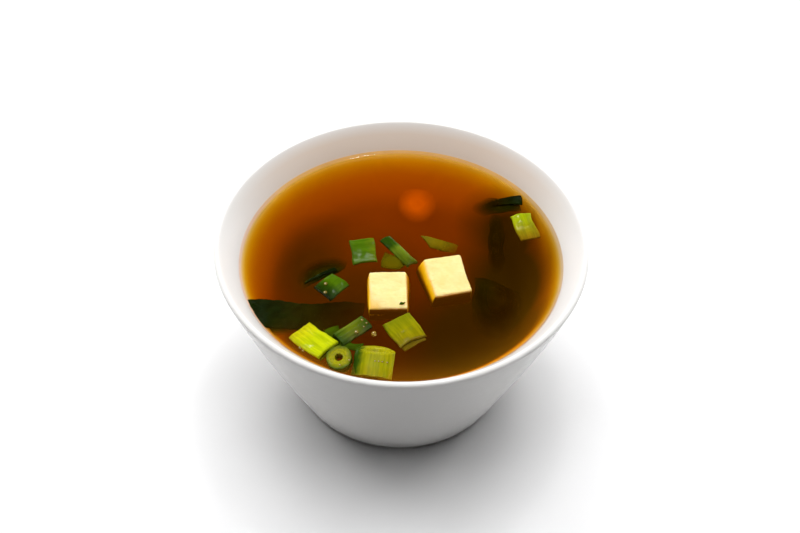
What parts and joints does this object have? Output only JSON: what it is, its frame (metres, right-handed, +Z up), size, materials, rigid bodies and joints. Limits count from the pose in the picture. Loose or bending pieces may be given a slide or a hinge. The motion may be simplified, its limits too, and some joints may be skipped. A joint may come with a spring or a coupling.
{
  "type": "bowl of miso soup",
  "caption": "Flared white porcelain bowl of clear brown miso soup with tofu blocks, cut scallion and wakame at its surface.",
  "frame": {"origin": "centre of the foot ring, on the surface the bowl stands on", "axes": "+Z up along the bowl's axis; -Y towards the side the bowl is seen from; +X to the right as seen from there"},
  "size_m": [0.1204, 0.1204, 0.0626],
  "materials": {
    "porcelain": "gloss",
    "broth": "polished",
    "tofu": "satin",
    "scallion": "satin",
    "wakame": "gloss"
  },
  "bodies": {
    "root": {"bowl": "porcelain", "broth": "broth", "tofu_left": "tofu", "tofu_right": "tofu", "scallion_back": "scallion", "scallion_curl": "scallion", "scallion_wet": "scallion", "scallion_yellow": "scallion", "scallion_olive": "scallion", "scallion_right": "scallion", "scallion_stalk": "scallion", "scallion_ring": "scallion", "scallion_wide_ring": "scallion", "wakame_left": "wakame", "wakame_back": "wakame", "wakame_fold": "wakame"}
  },
  "joints": []
}
